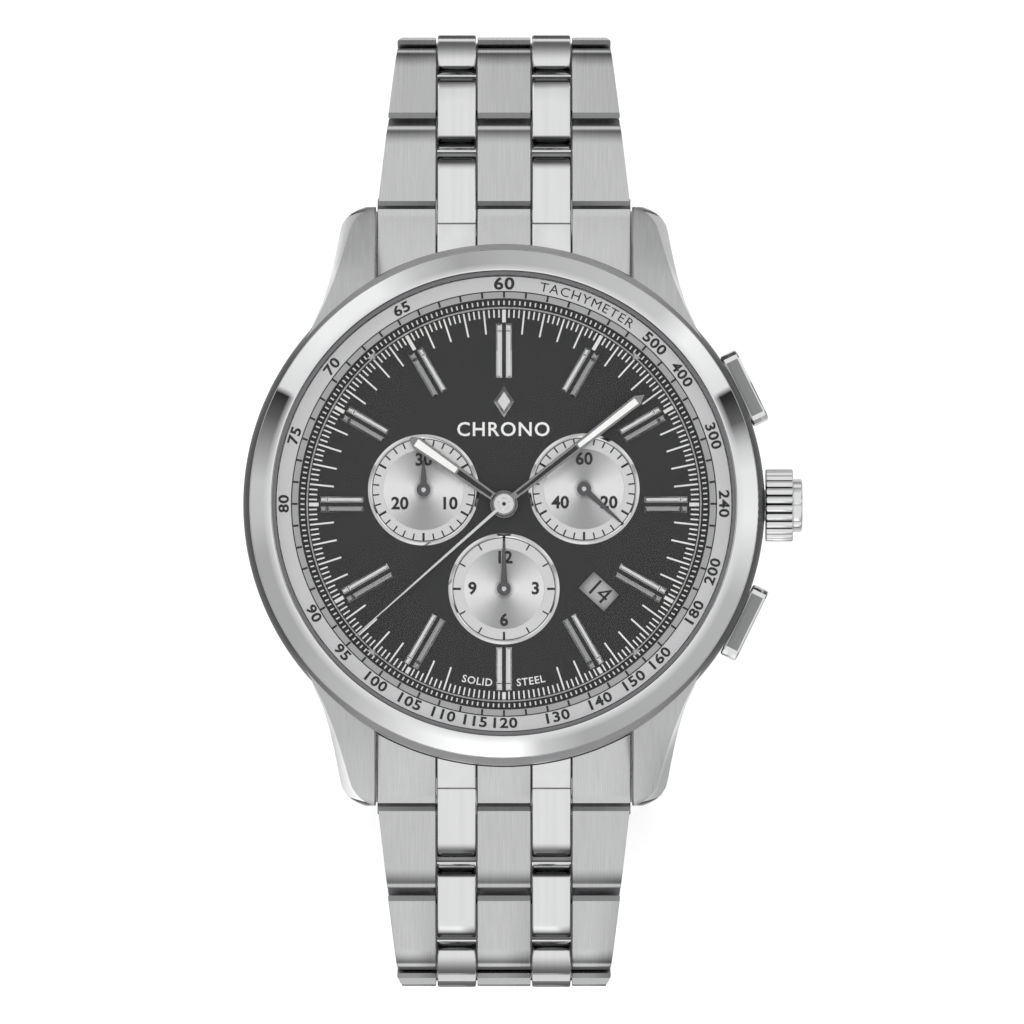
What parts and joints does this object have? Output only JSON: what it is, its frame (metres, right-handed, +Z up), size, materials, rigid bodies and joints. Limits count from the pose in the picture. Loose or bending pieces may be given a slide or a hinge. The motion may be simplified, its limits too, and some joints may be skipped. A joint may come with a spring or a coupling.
{
  "type": "chronograph wristwatch",
  "caption": "Steel chronograph wristwatch: round case with crown and push pieces, dark dial with silver sub-dials, date window, and a hinged link bracelet on a folding clasp.",
  "frame": {"origin": "on the flat underside of the clasp cover, straight below the axis of the hands, with the watch standing dial up on its closed clasp", "axes": "+Z up out of the dial, +Y to 12 o'clock, +X to the crown at 3 o'clock"},
  "size_m": [0.0461, 0.079, 0.0543],
  "materials": {
    "brushed_steel": "fine satin brushing",
    "polished_steel": "mirror polished steel",
    "plain_steel": "turned steel",
    "sapphire": "anti-reflective sapphire",
    "seal_rubber": "matt seal",
    "dial_lacquer": "satin dark grey lacquer with white print",
    "silver_print": "satin silver with black print",
    "dark_hands": "dark grey nickel",
    "brass": "plated brass",
    "movement_plastic": "moulded spacer",
    "circuit_green": "solder mask"
  },
  "bodies": {
    "case": {"case_middle": "brushed_steel", "bezel": "polished_steel", "crystal": "sapphire", "crystal_gasket": "seal_rubber", "flange_ring": "silver_print", "dial": "dial_lacquer", "case_back": "brushed_steel", "case_back_gasket": "seal_rubber", "movement_holder": "movement_plastic", "main_plate": "brass", "circuit_board": "circuit_green", "battery": "plain_steel", "crown_tube": "plain_steel", "start_pusher_tube": "plain_steel", "reset_pusher_tube": "plain_steel", "start_pusher_spring": "plain_steel", "reset_pusher_spring": "plain_steel", "end_link_12h": "brushed_steel", "end_link_6h": "brushed_steel", "lug_spring_bar_12h": "plain_steel", "lug_spring_bar_6h": "plain_steel"},
    "hour_hand": {"hour_hand": "polished_steel", "hour_wheel": "brass"},
    "minute_hand": {"minute_hand": "polished_steel", "cannon_pinion": "brass"},
    "chrono_seconds": {"chrono_seconds_hand": "polished_steel", "chrono_arbor": "plain_steel"},
    "small_seconds": {"small_seconds_hand": "dark_hands"},
    "minute_counter": {"minute_counter_hand": "dark_hands"},
    "hour_counter": {"hour_counter_hand": "dark_hands"},
    "date_ring": {"date_ring": "silver_print"},
    "setting_lever": {"setting_lever": "brass"},
    "crown": {"crown": "polished_steel", "stem": "plain_steel"},
    "start_pusher": {"start_pusher": "polished_steel"},
    "reset_pusher": {"reset_pusher": "polished_steel"},
    "inner_blade": {"inner_blade": "brushed_steel"},
    "middle_blade": {"middle_blade": "brushed_steel"},
    "clasp_cover": {"clasp_cover": "brushed_steel"},
    "clasp_button_left": {"clasp_button_left": "polished_steel"},
    "clasp_button_right": {"clasp_button_right": "polished_steel"},
    "link_12h_1": {"link_12h_1": "brushed_steel"},
    "link_12h_2": {"link_12h_2": "brushed_steel"},
    "link_12h_3": {"link_12h_3": "brushed_steel"},
    "link_12h_4": {"link_12h_4": "brushed_steel"},
    "link_12h_5": {"link_12h_5": "brushed_steel"},
    "link_12h_6": {"link_12h_6": "brushed_steel"},
    "link_12h_7": {"link_12h_7": "brushed_steel"},
    "link_12h_8": {"link_12h_8": "brushed_steel"},
    "link_12h_9": {"link_12h_9": "brushed_steel"},
    "link_6h_1": {"link_6h_1": "brushed_steel"},
    "link_6h_2": {"link_6h_2": "brushed_steel"},
    "link_6h_3": {"link_6h_3": "brushed_steel"},
    "link_6h_4": {"link_6h_4": "brushed_steel"},
    "link_6h_5": {"link_6h_5": "brushed_steel"},
    "link_6h_6": {"link_6h_6": "brushed_steel"},
    "link_6h_7": {"link_6h_7": "brushed_steel"},
    "link_6h_8": {"link_6h_8": "brushed_steel"},
    "link_6h_9": {"link_6h_9": "brushed_steel", "clasp_spring_bar": "plain_steel"}
  },
  "joints": [
    {"name": "small_seconds_turn", "type": "hinge", "parent": "case", "child": "small_seconds", "pos_m": [0.0066, 0.00128, 0.05071], "axis": [0, 0, -1], "continuous": true},
    {"name": "minute_hand_turn", "type": "hinge", "parent": "case", "child": "minute_hand", "pos_m": [0, 0, 0.05071], "axis": [0, 0, -1], "continuous": true},
    {"name": "hour_hand_turn", "type": "hinge", "parent": "case", "child": "hour_hand", "pos_m": [0, 0, 0.05071], "axis": [0, 0, -1], "continuous": true},
    {"name": "chrono_seconds_turn", "type": "hinge", "parent": "case", "child": "chrono_seconds", "pos_m": [0, 0, 0.05071], "axis": [0, 0, -1], "continuous": true},
    {"name": "minute_counter_turn", "type": "hinge", "parent": "case", "child": "minute_counter", "pos_m": [-0.00663, 0.0012, 0.05071], "axis": [0, 0, -1], "continuous": true},
    {"name": "hour_counter_turn", "type": "hinge", "parent": "case", "child": "hour_counter", "pos_m": [0, -0.00696, 0.05071], "axis": [0, 0, -1], "continuous": true},
    {"name": "date_ring_turn", "type": "hinge", "parent": "case", "child": "date_ring", "pos_m": [0, 0, 0.05071], "axis": [0, 0, -1], "continuous": true},
    {"name": "crown_pull", "type": "slide", "parent": "case", "child": "setting_lever", "axis": [1, 0, 0], "range_m": [0, 0.001]},
    {"name": "crown_turn", "type": "hinge", "parent": "setting_lever", "child": "crown", "pos_m": [0, 0, 0.04831], "axis": [1, 0, 0], "continuous": true},
    {"name": "start_push", "type": "slide", "parent": "case", "child": "start_pusher", "axis": [-0.8988, -0.4384, 0], "range_m": [0, 0.0009], "stiffness_N_per_m": 2000, "deforming": ["start_pusher_spring"]},
    {"name": "reset_push", "type": "slide", "parent": "case", "child": "reset_pusher", "axis": [-0.8988, 0.4384, 0], "range_m": [0, 0.0009], "stiffness_N_per_m": 2000, "deforming": ["reset_pusher_spring"]},
    {"name": "link_12h_1_hinge", "type": "hinge", "parent": "case", "child": "link_12h_1", "pos_m": [0, 0.0243, 0.04591], "axis": [1, 0, 0], "range_deg": [0, 13]},
    {"name": "link_12h_2_hinge", "type": "hinge", "parent": "link_12h_1", "child": "link_12h_2", "pos_m": [0, 0.0311, 0.04472], "axis": [1, 0, 0], "range_deg": [0, 19]},
    {"name": "link_12h_3_hinge", "type": "hinge", "parent": "link_12h_2", "child": "link_12h_3", "pos_m": [0, 0.0373, 0.04169], "axis": [1, 0, 0], "range_deg": [0, 61]},
    {"name": "link_12h_4_hinge", "type": "hinge", "parent": "link_12h_3", "child": "link_12h_4", "pos_m": [0, 0.03802, 0.03483], "axis": [1, 0, 0], "range_deg": [0, 12]},
    {"name": "link_12h_5_hinge", "type": "hinge", "parent": "link_12h_4", "child": "link_12h_5", "pos_m": [0, 0.03766, 0.02794], "axis": [1, 0, 0], "range_deg": [0, 8]},
    {"name": "link_12h_6_hinge", "type": "hinge", "parent": "link_12h_5", "child": "link_12h_6", "pos_m": [0, 0.0367, 0.02111], "axis": [1, 0, 0], "range_deg": [0, 11]},
    {"name": "link_12h_7_hinge", "type": "hinge", "parent": "link_12h_6", "child": "link_12h_7", "pos_m": [0, 0.03479, 0.01447], "axis": [1, 0, 0], "range_deg": [0, 23]},
    {"name": "link_12h_8_hinge", "type": "hinge", "parent": "link_12h_7", "child": "link_12h_8", "pos_m": [0, 0.03074, 0.00889], "axis": [1, 0, 0], "range_deg": [0, 25]},
    {"name": "link_12h_9_hinge", "type": "hinge", "parent": "link_12h_8", "child": "link_12h_9", "pos_m": [0, 0.02489, 0.00523], "axis": [1, 0, 0], "range_deg": [0, 23]},
    {"name": "link_6h_1_hinge", "type": "hinge", "parent": "case", "child": "link_6h_1", "pos_m": [0, -0.0243, 0.04591], "axis": [-1, 0, 0], "range_deg": [0, 13]},
    {"name": "link_6h_2_hinge", "type": "hinge", "parent": "link_6h_1", "child": "link_6h_2", "pos_m": [0, -0.0311, 0.04472], "axis": [-1, 0, 0], "range_deg": [0, 19]},
    {"name": "link_6h_3_hinge", "type": "hinge", "parent": "link_6h_2", "child": "link_6h_3", "pos_m": [0, -0.0373, 0.04169], "axis": [-1, 0, 0], "range_deg": [0, 61]},
    {"name": "link_6h_4_hinge", "type": "hinge", "parent": "link_6h_3", "child": "link_6h_4", "pos_m": [0, -0.03802, 0.03483], "axis": [-1, 0, 0], "range_deg": [0, 12]},
    {"name": "link_6h_5_hinge", "type": "hinge", "parent": "link_6h_4", "child": "link_6h_5", "pos_m": [0, -0.03766, 0.02794], "axis": [-1, 0, 0], "range_deg": [0, 8]},
    {"name": "link_6h_6_hinge", "type": "hinge", "parent": "link_6h_5", "child": "link_6h_6", "pos_m": [0, -0.0367, 0.02111], "axis": [-1, 0, 0], "range_deg": [0, 11]},
    {"name": "link_6h_7_hinge", "type": "hinge", "parent": "link_6h_6", "child": "link_6h_7", "pos_m": [0, -0.03479, 0.01447], "axis": [-1, 0, 0], "range_deg": [0, 23]},
    {"name": "link_6h_8_hinge", "type": "hinge", "parent": "link_6h_7", "child": "link_6h_8", "pos_m": [0, -0.03074, 0.00889], "axis": [-1, 0, 0], "range_deg": [0, 25]},
    {"name": "link_6h_9_hinge", "type": "hinge", "parent": "link_6h_8", "child": "link_6h_9", "pos_m": [0, -0.02489, 0.00523], "axis": [-1, 0, 0], "range_deg": [0, 23]},
    {"name": "clasp_pivot", "type": "hinge", "parent": "link_12h_9", "child": "inner_blade", "pos_m": [0, 0.01814, 0.0038], "axis": [1, 0, 0], "range_deg": [0, 15]},
    {"name": "blade_hinge", "type": "hinge", "parent": "inner_blade", "child": "middle_blade", "pos_m": [0, -0.01348, 0.0026], "axis": [-1, 0, 0], "range_deg": [0, 115]},
    {"name": "cover_hinge", "type": "hinge", "parent": "middle_blade", "child": "clasp_cover", "pos_m": [0, 0.01348, 0.0026], "axis": [1, 0, 0], "range_deg": [0, 125]},
    {"name": "clasp_button_left_push", "type": "slide", "parent": "clasp_cover", "child": "clasp_button_left", "axis": [1, 0, 0], "range_m": [0, 0.0005], "stiffness_N_per_m": 1500},
    {"name": "clasp_button_right_push", "type": "slide", "parent": "clasp_cover", "child": "clasp_button_right", "axis": [-1, 0, 0], "range_m": [0, 0.0005], "stiffness_N_per_m": 1500}
  ],
  "couplings": [
    {"joint": "minute_hand_turn", "follows": "small_seconds_turn", "ratio": 0.016667},
    {"joint": "hour_hand_turn", "follows": "small_seconds_turn", "ratio": 0.0013889},
    {"joint": "minute_counter_turn", "follows": "chrono_seconds_turn", "ratio": 0.033333},
    {"joint": "hour_counter_turn", "follows": "chrono_seconds_turn", "ratio": 0.0013889}
  ]
}
